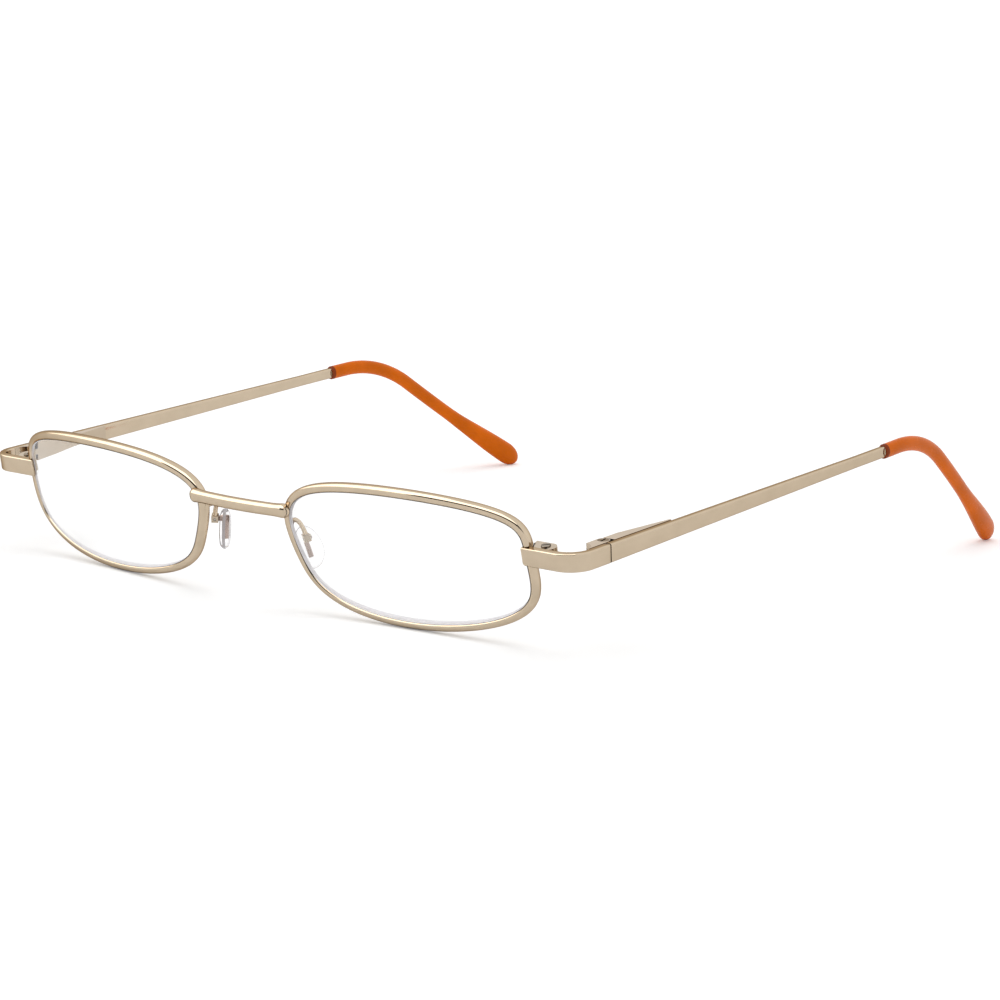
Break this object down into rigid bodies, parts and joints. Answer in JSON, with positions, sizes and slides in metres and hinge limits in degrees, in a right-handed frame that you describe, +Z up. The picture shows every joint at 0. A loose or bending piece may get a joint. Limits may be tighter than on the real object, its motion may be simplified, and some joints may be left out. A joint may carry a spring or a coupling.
{
  "type": "reading glasses",
  "caption": "Folding reading glasses with narrow metal rims, a straight bar bridge, rocking nose pads on wire arms, and flat temples with bent soft tips.",
  "frame": {"origin": "floor point under the middle of the open glasses: z=0 is what the rims and tips stand on, x=0 is the middle plane, y=0 is the middle of the length", "axes": "+Z up, front faces -Y, the open temples run to +Y, +X is the wearer's left side"},
  "size_m": [0.13, 0.1454, 0.0245],
  "materials": {
    "frame_metal": "satin",
    "screw_metal": "satin",
    "lens_plastic": "clear, polished",
    "pad_silicone": "clear, soft",
    "tip_plastic": "gloss"
  },
  "bodies": {
    "front": {"left_rim": "frame_metal", "right_rim": "frame_metal", "left_lens": "lens_plastic", "right_lens": "lens_plastic", "bridge": "frame_metal", "left_upper_lock": "frame_metal", "right_upper_lock": "frame_metal", "left_lower_lock": "frame_metal", "right_lower_lock": "frame_metal", "left_lock_screw": "screw_metal", "right_lock_screw": "screw_metal", "left_end_piece": "frame_metal", "right_end_piece": "frame_metal", "left_front_hinge": "frame_metal", "right_front_hinge": "frame_metal", "left_hinge_screw": "screw_metal", "right_hinge_screw": "screw_metal", "left_pad_arm": "frame_metal", "right_pad_arm": "frame_metal", "left_pad_box": "frame_metal", "right_pad_box": "frame_metal", "left_pad_screw": "screw_metal", "right_pad_screw": "screw_metal"},
    "temple_left": {"left_rear_hinge": "frame_metal", "left_temple": "frame_metal", "left_tip": "tip_plastic"},
    "temple_right": {"right_rear_hinge": "frame_metal", "right_temple": "frame_metal", "right_tip": "tip_plastic"},
    "pad_left": {"left_pad_insert": "screw_metal", "left_nose_pad": "pad_silicone"},
    "pad_right": {"right_pad_insert": "screw_metal", "right_nose_pad": "pad_silicone"}
  },
  "joints": [
    {"name": "temple_left_fold", "type": "hinge", "parent": "front", "child": "temple_left", "pos_m": [0.06248, -0.05546, 0.01574], "axis": [0, -0.0896, 0.996], "range_deg": [0, 91]},
    {"name": "temple_right_fold", "type": "hinge", "parent": "front", "child": "temple_right", "pos_m": [-0.06248, -0.05546, 0.01574], "axis": [0, 0.0896, -0.996], "range_deg": [0, 87]},
    {"name": "pad_left_rock", "type": "hinge", "parent": "front", "child": "pad_left", "pos_m": [0.01083, -0.06498, 0.01191], "axis": [0.5646, 0.7509, 0.3427], "range_deg": [-6, 5]},
    {"name": "pad_right_rock", "type": "hinge", "parent": "front", "child": "pad_right", "pos_m": [-0.01083, -0.06498, 0.01191], "axis": [0.5646, -0.7509, -0.3427], "range_deg": [-6, 5]}
  ]
}
